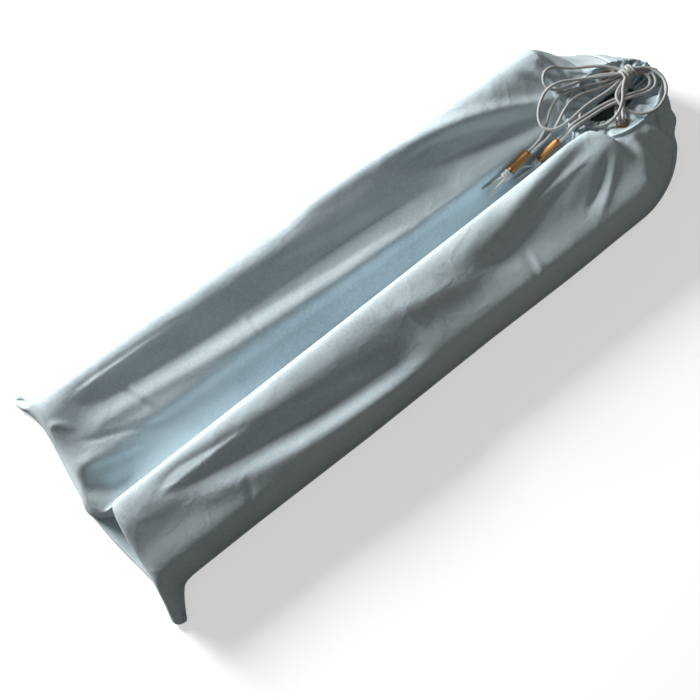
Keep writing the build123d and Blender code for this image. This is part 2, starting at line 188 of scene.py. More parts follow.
def laid_grid(rows, repeat=(1, 1)):
    """A sheet of quads laid onto rows of points, whose UVs run along and across in metres times repeat."""
    rows = np.asarray(rows)
    along, across = rows.shape[0], rows.shape[1]
    shape = bmesh.new()
    uv = shape.loops.layers.uv.new("UVMap")
    bmesh.ops.create_grid(shape, x_segments=along - 1, y_segments=across - 1, size=1, calc_uvs=True)
    for face in shape.faces:
        for loop in face.loops:
            loop[uv].uv = (loop[uv].uv[0] * repeat[0], loop[uv].uv[1] * repeat[1])
    for vertex in shape.verts:
        row = round((vertex.co.x + 1) / 2 * (along - 1))
        column = round((vertex.co.y + 1) / 2 * (across - 1))
        vertex.co = rows[row, column]
    bmesh.ops.remove_doubles(shape, verts=shape.verts, dist=1e-7)
    return shape


def finished(name, shape, material, smooth=True):
    """The object that a finished shape becomes."""
    mesh = bpy.data.meshes.new(name)
    bmesh.ops.recalc_face_normals(shape, faces=shape.faces)
    shape.to_mesh(mesh)
    shape.free()
    for face in mesh.polygons:
        face.use_smooth = smooth
    mesh.materials.append(material)
    piece = bpy.data.objects.new(name, mesh)
    bpy.context.scene.collection.objects.link(piece)
    return piece


def braided_tube(points, radius, sides=20, step=0.00045, braid=0.06, closed=False):
    """A round cord along a line, with the low bumps of its braid, closed at both ends."""
    line, travelled = spread(points, step)
    tangents = np.gradient(line, axis=0)
    if closed:
        tangents[0] = tangents[-1] = line[1] - line[-2]
    tangents /= np.linalg.norm(tangents, axis=1)[:, None]
    rows = []
    normal = np.cross(tangents[0], (0, 0, 1))
    for point, tangent, distance in zip(line, tangents, travelled):
        normal = normal - tangent * normal.dot(tangent)
        normal /= np.linalg.norm(normal)
        binormal = np.cross(tangent, normal)
        turn = np.linspace(0, 2 * math.pi, sides + 1)
        twist = distance * 2 * math.pi / 0.0026
        bumps = np.cos(4 * turn + twist) * np.cos(4 * turn - twist)
        reach = radius * (1 + braid * bumps)
        rows.append(point + np.outer(np.cos(turn) * reach, normal) + np.outer(np.sin(turn) * reach, binormal))
    rows = np.array(rows)
    rows[:, -1] = rows[:, 0]
    if closed:
        rows[-1] = rows[0]
    shape = laid_grid(rows, repeat=(travelled[-1], 2 * math.pi * radius))
    if not closed:
        rim = [edge for edge in shape.edges if edge.is_boundary]
        bmesh.ops.holes_fill(shape, edges=rim, sides=0)
    return shape


def new_material(name):
    """A new material, with its nodes, links, surface and texture coordinates."""
    material = bpy.data.materials.new(name)
    material.use_nodes = True
    nodes = material.node_tree.nodes
    place = nodes.new("ShaderNodeTexCoord")
    return material, nodes, material.node_tree.links, nodes["Principled BSDF"], place


def set_inputs(node, **values):
    """Set a node's inputs, whose names are written with underscores for spaces."""
    for name, value in values.items():
        node.inputs[name.replace("_", " ")].default_value = value


def noise(nodes, links, place, scale, detail=2):
    """Noise that is fixed to the piece."""
    texture = nodes.new("ShaderNodeTexNoise")
    set_inputs(texture, Scale=scale, Detail=detail)
    links.new(place.outputs["Object"], texture.inputs["Vector"])
    return texture


def weighed_sum(nodes, links, value, weight, rest):
    """A value times its weight, plus the rest."""
    total = nodes.new("ShaderNodeMath")
    total.operation = "MULTIPLY_ADD"
    links.new(value, total.inputs[0])
    total.inputs[1].default_value = weight
    links.new(rest, total.inputs[2])
    return total.outputs["Value"]


def tint(nodes, links, value, surface, dark, light, low=0, high=1):
    """Base colour that goes from dark to light as a value goes from low to high."""
    ramp = nodes.new("ShaderNodeValToRGB")
    for element, position, colour in zip(ramp.color_ramp.elements, (low, high), (dark, light)):
        element.position = position
        element.color = colour
    links.new(value, ramp.inputs["Fac"])
    links.new(ramp.outputs["Color"], surface.inputs["Base Color"])


def darker(colour, share):
    """A darker shade of a colour."""
    return tuple(channel * share for channel in colour[:3]) + (1,)


def bump(nodes, links, height, strength, distance):
    """Relief from a height."""
    relief = nodes.new("ShaderNodeBump")
    set_inputs(relief, Strength=strength, Distance=distance)
    links.new(height, relief.inputs["Height"])
    return relief


def braid_material(name, colour, shade):
    """Braided cord: crossed yarns with painted shade between them, a soft shine and slightly uneven colour."""
    material, nodes, links, surface, place = new_material(name)
    set_inputs(surface, Sheen_Weight=0.25, Roughness=0.5)
    yarns = []
    for slant in (1, -1):
        turned = nodes.new("ShaderNodeMapping")
        turned.inputs["Rotation"].default_value = (0, 0, slant * math.radians(38))
        links.new(place.outputs["UV"], turned.inputs["Vector"])
        yarn = nodes.new("ShaderNodeTexWave")
        yarn.wave_profile = "SIN"
        set_inputs(yarn, Scale=420, Distortion=0.4)
        links.new(turned.outputs["Vector"], yarn.inputs["Vector"])
        yarns.append(yarn.outputs["Fac"])
    crossed = nodes.new("ShaderNodeMath")
    crossed.operation = "MULTIPLY"
    links.new(yarns[0], crossed.inputs[0])
    links.new(yarns[1], crossed.inputs[1])
    dust = noise(nodes, links, place, 90)
    tone = weighed_sum(nodes, links, dust.outputs["Fac"], 0.5, crossed.outputs["Value"])
    # Painted shade: the darker grey goes where the crossed yarns dip, in the grooves between them; the dust noise
    # adds uneven tone.
    tint(nodes, links, tone, surface, shade, colour, 0.15, 0.75)
    relief = bump(nodes, links, crossed.outputs["Value"], 0.5, 0.0002)
    links.new(relief.outputs["Normal"], surface.inputs["Normal"])
    return material


cord_braid = braid_material("cord_braid", cord_grey, cord_shadow_grey)
cord_lines = {name: smooth_line(name, route) for name, route in loop_routes.items()}
for name, side in (("tail_a1", 1), ("tail_a2", -1), ("tail_b1", -1), ("tail_b2", 1)):
    cord_lines[name] = smooth_line(name, tail_route(name, side))


# Brass tubes: drawn tube with shallow flutes and plain rolled ends, one on the two tails
# of each cord, where it can be pushed up to the bow.
tube_radius = 0.003245
tube_wall = 0.00045
flute_count = 14
flute_depth = 0.00016


def uneven_group():
    """The effect that metals and plastics share: patches of another shade and another polish."""
    group = bpy.data.node_groups.new("uneven", "ShaderNodeTree")
    for socket in ("Dark", "Light"):
        group.interface.new_socket(socket, in_out="INPUT", socket_type="NodeSocketColor")
    for socket in ("Scale", "Low", "High", "Smooth", "Rough"):
        group.interface.new_socket(socket, in_out="INPUT", socket_type="NodeSocketFloat")
    group.interface.new_socket("Color", in_out="OUTPUT", socket_type="NodeSocketColor")
    group.interface.new_socket("Roughness", in_out="OUTPUT", socket_type="NodeSocketFloat")
    nodes, links = group.nodes, group.links
    given, made = nodes.new("NodeGroupInput"), nodes.new("NodeGroupOutput")
    patches = noise(nodes, links, nodes.new("ShaderNodeTexCoord"), 1, 6)
    links.new(given.outputs["Scale"], patches.inputs["Scale"])
    share, polish = nodes.new("ShaderNodeMapRange"), nodes.new("ShaderNodeMapRange")
    for node, socket, source in (
        (share, "From Min", "Low"), (share, "From Max", "High"),
        (polish, "To Min", "Smooth"), (polish, "To Max", "Rough"),
    ):
        links.new(given.outputs[source], node.inputs[socket])
        links.new(patches.outputs["Fac"], node.inputs["Value"])
    shades = nodes.new("ShaderNodeMix")
    shades.data_type = "RGBA"
    factor, first_colour, second_colour = (shades.inputs[place] for place in (0, 6, 7))
    links.new(share.outputs["Result"], factor)
    links.new(given.outputs["Dark"], first_colour)
    links.new(given.outputs["Light"], second_colour)
    links.new(shades.outputs[2], made.inputs["Color"])
    links.new(polish.outputs["Result"], made.inputs["Roughness"])
    return group


uneven = uneven_group()


def make_uneven(nodes, links, surface, **values):
    """Let the shared effect drive a surface's colour and roughness."""
    effect = nodes.new("ShaderNodeGroup")
    effect.node_tree = uneven
    set_inputs(effect, **values)
    links.new(effect.outputs["Color"], surface.inputs["Base Color"])
    links.new(effect.outputs["Roughness"], surface.inputs["Roughness"])


def metal_material(name, colour, roughness, scratch_scale):
    """Polished metal whose colour and polish vary in fine patches."""
    material, nodes, links, surface, _ = new_material(name)
    set_inputs(surface, Metallic=1)
    make_uneven(
        nodes, links, surface, Dark=darker(colour, 0.72), Light=colour, Scale=scratch_scale,
        Low=0.35, High=0.65, Smooth=roughness * 0.7, Rough=roughness * 1.5,
    )
    return material


tube_brass = metal_material("tube_brass", (0.34, 0.185, 0.07, 1), 0.42, 900)
tube_pieces = {}
for letter in "ab":
    middle, upward, across = tube_frame(letter)
    shape = bmesh.new()
    half = tube_length / 2
    rim = tube_wall / 2
    bore = tube_radius - tube_wall
    outline = [(bore, -half + rim), (bore + rim, -half), (tube_radius, -half + rim)]
    outline += [(tube_radius, -half + 0.0018), (tube_radius, -half + 0.0024), (tube_radius, 0)]
    outline += [(tube_radius, half - 0.0024), (tube_radius, half - 0.0018), (tube_radius, half - rim)]
    outline += [(bore + rim, half), (bore, half - rim)]
    corners = [shape.verts.new((radius, 0, z)) for radius, z in outline]
    for before, after in zip(corners, corners[1:] + corners[:1]):
        shape.edges.new((before, after))
    bmesh.ops.spin(
        shape, geom=shape.verts[:] + shape.edges[:], cent=(0, 0, 0), axis=(0, 0, 1),
        angle=2 * math.pi, steps=flute_count * 8, use_merge=True, use_duplicate=False,
    )
    bmesh.ops.remove_doubles(shape, verts=shape.verts, dist=1e-6)
    for vertex in shape.verts:
        turn = math.atan2(vertex.co.y, vertex.co.x)
        if vertex.co.xy.length > tube_radius - 1e-6 and abs(vertex.co.z) < half - 0.002:
            vertex.co.xy *= 1 - flute_depth / tube_radius * (1 - abs(math.sin(turn * flute_count / 2))) * 2
    axes = Matrix((across, upward.cross(across), upward)).transposed().to_4x4()
    bmesh.ops.transform(shape, matrix=Matrix.Translation(middle) @ axes, verts=shape.verts)
    tube_pieces[letter] = finished(f"brass_tube_{letter}", shape, tube_brass)
    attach(tube_pieces[letter], f"cord_tube_{letter}")
    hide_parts(f"cord_tube_{letter}")


# Stopper knots: below each tube both tails are tied in one tight overhand knot, so the tube
# can't slide off. The knot shows as three wraps and one that crosses them.
wrap_radius = 0.00118
wrap_reach = (0.0031, 0.0022)
wrap_places = ((-0.0024, 14), (0, -10), (0.0024, 16), (0.0002, 48))


def wrap(middle, first, second, along, reach, place, lean):
    """A closed turn of cord round a bundle, leaning over by some degrees."""
    tilt = math.tan(math.radians(lean))
    ring = []
    for turn in np.linspace(0, 2 * math.pi, 12, endpoint=False):
        side, rise = reach[0] * math.cos(turn), reach[1] * math.sin(turn)
        ring.append(tuple(middle + first * side + second * rise + along * (place + side * tilt * 0.7)))
    return smooth_line("wrap", ring, closed=True)


def joined(shapes):
    """Several shapes as one."""
    whole = bmesh.new()
    for shape in shapes:
        mesh = bpy.data.meshes.new("part")
        shape.to_mesh(mesh)
        shape.free()
        whole.from_mesh(mesh)
        bpy.data.meshes.remove(mesh)
    return whole


stopper_pieces = {}
for letter in "ab":
    middle, upward, across = tube_frame(letter)
    knot_middle = middle - upward * (tube_length / 2 + 0.0003 + stopper_length / 2)
    turns = []
    for place, lean in wrap_places:
        line = wrap(knot_middle, across, upward.cross(across), upward, wrap_reach, place, lean)
        line.append(line[0])
        turns.append(braided_tube(line, wrap_radius, sides=16, closed=True))
    stopper_pieces[letter] = finished(f"stopper_{letter}", joined(turns), cord_braid)
    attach(stopper_pieces[letter], "bag")
    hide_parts(f"stopper_knot_{letter}")


# Bow knot: all four loops and tails pass through one square knot, four wraps wide,
# with one strand laid over it on the slant.
bow_middle = Vector((0.281, 0.009, 0.0522))
bow_reach = (0.0053, 0.0039)
bow_wraps = ((-0.0046, 10), (-0.0016, -8), (0.0014, 9), (0.0044, -7), (0, 42))
turns = []
for place, lean in bow_wraps:
    line = wrap(bow_middle, Vector((0, 1, 0)), Vector((0, 0, 1)), Vector((1, 0, 0)), bow_reach, place, lean)
    line.append(line[0])
    turns.append(braided_tube(line, cord_diameter / 2, closed=True))
bow = finished("bow", joined(turns), cord_braid)
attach(bow, "bag")
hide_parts("bow_knot")


for name, points in cord_lines.items():
    cord = finished(name + "_cord", braided_tube(points, cord_diameter / 2), cord_braid)
    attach(cord, "bag")
    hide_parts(name)


# Suede cloth: pale blue-grey microfibre with a fine brushed nap. The nap takes the light
# unevenly, in soft clouds, and storage has left a net of shallow crumples in it.
suede_pale = (0.61, 0.725, 0.785, 1)
suede_dark = (0.475, 0.58, 0.64, 1)


def crumples(nodes, links, place, scale, height, below):
    """Shallow creases along the edges of warped cells, added to the relief below them."""
    warp = noise(nodes, links, place, scale * 0.7, 3)
    bent = nodes.new("ShaderNodeVectorMath")
    bent.operation = "MULTIPLY_ADD"
    links.new(warp.outputs["Color"], bent.inputs[0])
    bent.inputs[1].default_value = (1.1 / scale, 1.1 / scale, 1.1 / scale)
    links.new(place.outputs["Object"], bent.inputs[2])
    cells = nodes.new("ShaderNodeTexVoronoi")
    cells.feature = "DISTANCE_TO_EDGE"
    set_inputs(cells, Scale=scale)
    links.new(bent.outputs["Vector"], cells.inputs["Vector"])
    ridge = nodes.new("ShaderNodeMapRange")
    ridge.interpolation_type = "SMOOTHSTEP"
    set_inputs(ridge, From_Max=0.13, To_Min=1, To_Max=0)
    links.new(cells.outputs["Distance"], ridge.inputs["Value"])
    relief = bump(nodes, links, ridge.outputs["Result"], 1, height)
    links.new(below.outputs["Normal"], relief.inputs["Normal"])
    return relief


suede, nodes, links, surface, place = new_material("suede")
set_inputs(surface, Roughness=0.95, Sheen_Weight=0.18, Sheen_Roughness=0.4, Specular_IOR_Level=0.15)
clouds = noise(nodes, links, place, 13, 6)
set_inputs(clouds, Roughness=0.6)
nap = noise(nodes, links, place, 1400, 3)
fibres = noise(nodes, links, place, 420, 4)
speckle = weighed_sum(nodes, links, nap.outputs["Fac"], 0.3, clouds.outputs["Fac"])
patches = weighed_sum(nodes, links, fibres.outputs["Fac"], 0.55, speckle)
tint(nodes, links, patches, surface, suede_dark, suede_pale, 0.68, 1)
grain = weighed_sum(nodes, links, nap.outputs["Fac"], 1, fibres.outputs["Fac"])
relief = bump(nodes, links, grain, 0.35, 0.0005)
relief = crumples(nodes, links, place, 13, 0.00022, relief)
relief = crumples(nodes, links, place, 36, 0.00012, relief)
links.new(relief.outputs["Normal"], surface.inputs["Normal"])


# Bag: two suede panels, sewn together down both sides and across the end, lying over two
# nested stacks of racks. The cloth sinks between the stacks and is gathered at the mouth.
cloth = 0.0012
rack_left, rack_right = -0.262, 0.214
rack_width = 0.068
shelf_front, shelf_back = 0.048, 0.062
low_top, high_top = 0.0412, 0.0575
near_front, near_yaw = -0.090, math.radians(1.2)
far_front, far_yaw = 0.026, math.radians(-1.6)
top_slack, side_slack = 0.0013, 0.0055
valley_height = 0.029
seam_height = 0.004
mouth = Vector((0.259, -0.001, 0.050))
mouth_half_length, mouth_half_width = 0.043, 0.031
mouth_turn = 55
end_bulge, valley_setback, end_margin = 0.017, 0.034, 0.0185
end_rows, body_rows, neck_rows = 26, 186, 54
top_columns, floor_columns = 172, 56
softening_passes = 18
resting_height = 0.0002
# The sewn end from its near tip to its far tip: two ears, and a small tuck between the lumps
seam_line = (
    (-0.2795, -0.1205), (-0.2865, -0.1240), (-0.2915, -0.1180), (-0.2895, -0.1020), (-0.2865, -0.0880),
    (-0.2850, -0.0620), (-0.2810, -0.0360), (-0.2785, -0.0220), (-0.2920, -0.0120), (-0.3020, -0.0030),
    (-0.3040, 0.0080), (-0.3000, 0.0220), (-0.2965, 0.0440), (-0.2960, 0.0680), (-0.2975, 0.0900),
    (-0.3010, 0.1080), (-0.3060, 0.1190), (-0.3065, 0.1270), (-0.2985, 0.1265),
)
# Creases of the gathers: where each is round the mouth, how deep it is and how wide
gathers = (
    (174, 0.0046, 9), (157, 0.0018, 3), (141, 0.0030, 3.4), (126, 0.0017, 3), (109, 0.0031, 3.4),
    (91, 0.0015, 2.6), (54, 0.0026, 3), (38, 0.0048, 4.2), (22, 0.0026, 3.4), (7, 0.0062, 5),
    (-9, 0.0026, 3.4), (-24, 0.0058, 4.6), (-41, 0.0024, 3.4), (-58, 0.0016, 3), (-79, 0.0010, 3.2),
    (-128, 0.0012, 3.5), (-147, 0.0017, 3.5), (-163, 0.0023, 3.5),
)
# Folds of the lying cloth: height (below nought for a groove), its width on the far and on
# the near side, and its line seen from above
folds = (
    (-0.0046, 0.0125, 0.0150, (
        (-0.268, 0.066), (-0.190, 0.061), (-0.130, 0.054), (-0.060, 0.047), (0.010, 0.037), (0.070, 0.030), (0.130, 0.020),
    )),
    (0.0022, 0.0110, 0.0070, (
        (-0.270, 0.046), (-0.190, 0.040), (-0.130, 0.030), (-0.050, 0.024), (0.030, 0.020), (0.090, 0.018),
    )),
    (0.0042, 0.0060, 0.0085, (
        (-0.030, 0.083), (0.060, 0.079), (0.120, 0.069), (0.170, 0.055), (0.215, 0.034), (0.245, 0.022),
    )),
    (-0.0050, 0.0080, 0.0100, ((0.080, 0.062), (0.140, 0.048), (0.190, 0.031), (0.225, 0.016))),
    (-0.0047, 0.0105, 0.0110, (
        (-0.245, -0.034), (-0.190, -0.043), (-0.140, -0.053), (-0.090, -0.062), (-0.040, -0.069), (0.020, -0.072),
    )),
    (0.0026, 0.0080, 0.0090, (
        (-0.230, -0.060), (-0.180, -0.066), (-0.130, -0.076), (-0.070, -0.082), (0.010, -0.084),
    )),
    (0.0020, 0.0090, 0.0100, ((-0.020, -0.036), (0.030, -0.044), (0.080, -0.055), (0.120, -0.066))),
    (-0.0030, 0.0090, 0.0110, (
        (0.060, -0.058), (0.120, -0.048), (0.170, -0.034), (0.215, -0.020), (0.240, -0.012),
    )),
    (0.0022, 0.0060, 0.0100, ((0.110, -0.030), (0.160, -0.022), (0.205, -0.014), (0.238, -0.007))),
    (-0.0032, 0.0070, 0.0070, ((-0.300, 0.012), (-0.280, 0.008), (-0.262, -0.002), (-0.235, -0.004))),
    (0.0026, 0.0070, 0.0050, ((-0.296, 0.030), (-0.270, 0.024), (-0.240, 0.015), (-0.200, 0.010))),
    (0.0012, 0.0024, 0.0024, ((-0.0973, 0.0580), (-0.0948, 0.0332), (-0.0915, 0.0097))),
    (-0.0011, 0.0022, 0.0022, ((-0.0925, 0.0500), (-0.0910, 0.0300), (-0.0880, 0.0050))),
    (0.0010, 0.0022, 0.0022, ((-0.0870, 0.0440), (-0.0875, 0.0200), (-0.0860, 0.0012))),
    (-0.0011, 0.0024, 0.0024, ((0.0050, -0.0280), (0.0100, -0.0420), (0.0125, -0.0560))),
    (0.0010, 0.0022, 0.0022, ((0.0090, -0.0270), (0.0140, -0.0400), (0.0170, -0.0540))),
    (-0.0013, 0.0024, 0.0024, ((0.1190, -0.0540), (0.1170, -0.0750), (0.1130, -0.0960))),
    (0.0012, 0.0022, 0.0022, ((0.1240, -0.0560), (0.1220, -0.0740), (0.1180, -0.0900))),
    (-0.0010, 0.0022, 0.0022, ((-0.0060, -0.0860), (-0.0090, -0.0960), (-0.0115, -0.1040))),
    (-0.0013, 0.0026, 0.0026, ((-0.2160, 0.0680), (-0.2060, 0.0450), (-0.1960, 0.0130))),
    (0.0010, 0.0022, 0.0022, ((-0.2110, 0.0660), (-0.2020, 0.0440), (-0.1920, 0.0140))),
    (-0.0012, 0.0026, 0.0026, ((-0.2800, 0.0460), (-0.2472, 0.0330), (-0.2098, 0.0186), (-0.1900, 0.0130))),
    (0.0012, 0.0026, 0.0026, ((-0.2860, 0.0680), (-0.2704, 0.0640), (-0.2600, 0.0470))),
    (-0.0012, 0.0028, 0.0028, ((-0.1640, -0.0640), (-0.1790, -0.0926), (-0.1880, -0.1150))),
    (0.0012, 0.0026, 0.0026, ((-0.2150, -0.0840), (-0.2100, -0.0980), (-0.2080, -0.1090))),
    (-0.0012, 0.0026, 0.0026, ((0.0980, 0.0880), (0.1040, 0.0780), (0.1110, 0.0700))),
    (0.0014, 0.0030, 0.0030, ((0.2860, -0.0610), (0.2660, -0.0720), (0.2440, -0.0800))),
    (-0.0020, 0.0034, 0.0034, ((0.2290, 0.0660), (0.2360, 0.0480), (0.2430, 0.0330))),
    (-0.0018, 0.0030, 0.0030, ((0.2080, 0.0680), (0.2220, 0.0480), (0.2340, 0.0300))),
    (0.0016, 0.0028, 0.0028, ((0.2190, 0.0680), (0.2290, 0.0480), (0.2390, 0.0310))),
    (-0.0016, 0.0030, 0.0030, ((0.1700, -0.0700), (0.2000, -0.0540), (0.2280, -0.0330))),
    (0.0014, 0.0028, 0.0028, ((0.1780, -0.0780), (0.2060, -0.0600), (0.2320, -0.0380))),
    (-0.0058, 0.0052, 0.0052, ((0.2690, -0.0280), (0.2800, -0.0420), (0.2900, -0.0560))),
    (0.0036, 0.0050, 0.0060, ((0.2610, -0.0320), (0.2710, -0.0480), (0.2780, -0.0640))),
    (-0.0034, 0.0045, 0.0050, ((0.2520, -0.0340), (0.2590, -0.0520), (0.2640, -0.0700))),
    (0.0030, 0.0050, 0.0050, ((0.2790, -0.0240), (0.2890, -0.0360), (0.2970, -0.0480))),
    (-0.0030, 0.0045, 0.0055, ((0.2860, -0.0120), (0.2940, -0.0160), (0.3010, -0.0200))),
)


def gather_depth(angle):
    """How far the cloth is drawn in at an angle round the mouth."""
    depth = 0
    for centre, deep, wide in gathers:
        apart = (angle - centre + 180) % 360 - 180
        depth = depth + deep * np.exp(-(apart / wide) ** 2)
    return depth


def stack_front(front, yaw, x):
    """Where a stack's front edge is at x."""
    return front + math.tan(yaw) * (x - rack_left)


def over_the_racks(x):
    """Points of the cloth across the bag at x, from the near edge to the far one, as y and z."""
    sag = np.interp(x, (-0.26, -0.19, -0.07, 0.06, 0.15, 0.2), (0.001, 0.0005, 0.003, 0.001, 0.003, 0.001))
    near_sag = np.interp(x, (-0.26, -0.2, -0.08, 0.02, 0.12, 0.2), (0.0005, 0.002, 0.0015, 0, 0.003, 0.002))
    far_sag = np.interp(x, (-0.26, -0.2, -0.05, 0.08, 0.2), (0, 0.0015, 0.002, 0.0015, 0.001))
    near, far = stack_front(near_front, near_yaw, x), stack_front(far_front, far_yaw, x)
    near_back, far_back = near + rack_width, far + rack_width
    half_gap = (far - near_back) / 2
    bank = np.interp(x, (-0.26, 0.06, 0.14), (0.0075, 0.0075, 0.004))
    top, low = high_top + cloth + top_slack, low_top + cloth
    slope = (low_top + high_top) / 2 + cloth
    valley, side = valley_height - sag, side_slack + sag / 2
    return [
        (near - side + 0.004, 0),
        (near - side, 0.009),
        (near - side, low_top - 0.012),
        (near + 0.001, low + 0.0014),
        (near + rack_width * 0.37, slope + 0.0016 - near_sag),
        (near + shelf_front, top),
        (near + shelf_back + 0.0035, top + 0.0002),
        (near_back + 0.0030, high_top - 0.008),
        (near_back + 0.0045, valley + 0.009),
        (near_back + 0.0080, valley),
        (far - half_gap * 0.55, valley + bank),
        (far + 0.0002, low + 0.0014),
        (far + rack_width * 0.35, slope - far_sag),
        (far + shelf_front, top),
        (far + shelf_back + 0.0005, top - 0.0003),
        (far_back + 0.0015, high_top - 0.008),
        (far_back + side, low_top - 0.012),
        (far_back + side, 0.009),
        (far_back + side - 0.004, 0),
    ]


def ring_across(x):
    """The same points in space, followed by three on the floor."""
    over = [Vector((x, y, z)) for y, z in over_the_racks(x)]
    return over + [over[-1].lerp(over[0], share) for share in (0.25, 0.5, 0.75)]


def ring_of_seam():
    """The sewn end: from ear to ear along its line and back underneath, flat on the floor."""
    ring = [Vector((x, y, seam_height - 0.0015 * (1 - (y / 0.13) ** 2))) for x, y in seam_line]
    for share in (0.25, 0.5, 0.75):
        under = ring[round(18 * (1 - share))].copy()
        under.z *= 0.6
        ring.append(under)
    return ring


def ring_of_mouth(grow, height):
    """The line round the mouth where the gathers meet the hem."""
    angles = [-mouth_turn - (360 - 2 * mouth_turn) * i / 18 for i in range(19)]
    angles += [mouth_turn / 2, 0, -mouth_turn / 2]
    ring = []
    for angle in angles:
        x = mouth.x + (mouth_half_length + grow) * math.cos(math.radians(angle))
        y = mouth.y + (mouth_half_width + grow) * math.sin(math.radians(angle))
        ring.append(Vector((x, y, height)))
    return ring, angles


def neck_point(start, finish, share, fullness):
    """A point on the way from the racks' end to the mouth, bulging where it starts low or is full."""
    low = max(0.0, min(1.0, 1 - start.z / (mouth.z * 0.7)))
    elbow = Vector((
        finish.x + end_bulge * low - (1 - low) * (0.35 - 0.3 * fullness) * (finish.x - start.x),
        start.y + (finish.y - start.y) * (0.45 - 0.25 * low) * (1 - 0.75 * fullness),
        start.z + (finish.z - start.z) * 0.5 * (1 - low) * (1 - 0.6 * fullness),
    ))
    return start * (1 - share) ** 2 + elbow * (2 * share * (1 - share)) + finish * share ** 2


def bag_rings():
    """Control points of the bag's surface: a ring of 22 for each row along it."""
    seam, first = ring_of_seam(), ring_across(rack_left - 0.0033)
    finish, _ = ring_of_mouth(0.0012, mouth.z - 0.0004)
    setback = [valley_setback * max(0, 1 - abs(i - 9) / 4) for i in range(22)]
    ear = [max(0.0, 1 - i / 3, 1 - (18 - i) / 3) if i < 19 else 0.0 for i in range(22)]
    rings = []
    for row in range(end_rows):
        share = row / end_rows
        ring = []
        for i in range(22):
            low, high = seam[i], first[i]
            rise = (1 - (1 - share) ** 2.3) * (1 - ear[i]) + share ** 1.7 * ear[i]
            inward = share ** 0.75 * (1 - ear[i]) + (1 - (1 - share) ** 1.15) * ear[i]
            ring.append(Vector((
                low.x + (high.x - low.x) * share,
                low.y + (high.y - low.y) * inward,
                low.z + (high.z - low.z) * rise,
            )))
        rings.append(ring)
    for row in range(body_rows):
        share = row / body_rows
        ring = []
        for i in range(22):
            x = first[0].x + (rack_right + end_margin - setback[i] - first[0].x) * share
            ring.append(ring_across(x)[i])
        rings.append(ring)
    start = [ring_across(rack_right + end_margin - setback[i])[i] for i in range(22)]
    far_fullness = [max(0.0, 1 - abs(i - 14.5) / 3) for i in range(22)]
    for row in range(neck_rows + 1):
        rings.append([neck_point(start[i], finish[i], row / neck_rows, far_fullness[i]) for i in range(22)])
    return np.array(rings)


def round_the_ring(rings, places):
    """Points at fractional places round each ring, on a smooth closed curve through its points."""
    whole = np.floor(places).astype(int)
    part = (places - whole)[None, :, None]
    before, here, after, later = (rings[:, (whole + step) % 22] for step in (-1, 0, 1, 2))
    curve = 2 * here + (after - before) * part
    curve += (2 * before - 5 * here + 4 * after - later) * part ** 2
    curve += (3 * here - before - 3 * after + later) * part ** 3
    return curve / 2


def evened(places_from, places_to, count, ring):
    """Fractional places that are evenly spread along the ring's real length."""
    fine = np.linspace(places_from, places_to, 1200)
    points = round_the_ring(ring[None], fine)[0]
    runs = np.linalg.norm(np.diff(points, axis=0), axis=1)
    travelled = np.concatenate(([0], np.cumsum(runs)))
    return np.interp(np.linspace(0, travelled[-1], count + 1), travelled, fine)


def fold_lift(skin, height, far_width, near_width, line):
    """How far one fold lifts the cloth at every point, seen from above, fading at both ends."""
    points = np.array(line)
    for _ in range(3):
        cut = np.stack((points[:-1] * 0.75 + points[1:] * 0.25, points[:-1] * 0.25 + points[1:] * 0.75), 1)
        points = np.concatenate((points[:1], cut.reshape(-1, 2), points[-1:]))
    place = skin[:, :, :2]
    nearest, side = np.full(skin.shape[:2], 1.0), np.zeros(skin.shape[:2])
    reach, gone = np.zeros(skin.shape[:2]), 0
    for start, run in zip(points[:-1], np.diff(points, axis=0)):
        length = math.hypot(*run)
        away = place - start
        part = np.clip(away @ run / length ** 2, 0, 1)
        apart = np.linalg.norm(away - part[:, :, None] * run, axis=2)
        closer = apart < nearest
        nearest = np.where(closer, apart, nearest)
        side = np.where(closer, run[0] * away[:, :, 1] - run[1] * away[:, :, 0], side)
        reach = np.where(closer, gone + part * length, reach)
        gone += length
    fading = np.clip(np.minimum(reach, gone - reach) / min(0.045, gone * 0.4), 0, 1)
    wide = np.where(side > 0, far_width, near_width)
    return height * np.exp(-(nearest / wide) ** 2) * fading ** 2 * (3 - 2 * fading)


def racks_below(skin):
    """The lowest the cloth can lie over the racks, from their low front edge to their back."""
    across = (-0.003, 0, 0.006, 0.025, 0.043, shelf_front, shelf_back, shelf_back + 0.003)
    rising = (0.020, low_top, low_top + 0.0008, low_top + 0.0028, high_top - 0.0025)
    heights = rising + (high_top, high_top, 0.030)
    lowest = np.zeros(skin.shape[:2])
    inside = (skin[:, :, 0] > rack_left - 0.001) & (skin[:, :, 0] < rack_right + 0.001)
    for front, yaw in ((near_front, near_yaw), (far_front, far_yaw)):
        from_edge = skin[:, :, 1] - stack_front(front, yaw, skin[:, :, 0])
        over = np.interp(from_edge, across, heights, left=0, right=0)
        lowest = np.maximum(lowest, np.where(inside & (over > 0), over + cloth + 0.0003, 0))
    return lowest


rings = bag_rings()
seam_place = 0.78
middle_ring = rings[end_rows + body_rows // 2]
columns = np.concatenate((
    evened(seam_place, 18 - seam_place, top_columns, middle_ring),
    evened(18 - seam_place, 22 + seam_place, floor_columns, middle_ring)[1:],
))
skin = round_the_ring(rings, columns)
for _ in range(softening_passes):
    softer = skin.copy()
    softer[1:-1] = skin[1:-1] * 0.5 + (skin[2:] + skin[:-2]) * 0.25
    skin = softer
over_the_hem = [ring_of_mouth(grow, mouth.z + rise)[0] for grow, rise in (
    (0.0008, 0.0003), (0.0002, 0.0008), (-0.0007, 0.0010), (-0.0017, 0.0008),
)]
skin = np.concatenate((skin, round_the_ring(np.array(over_the_hem), columns)))
skin[:, -1] = skin[:, 0]


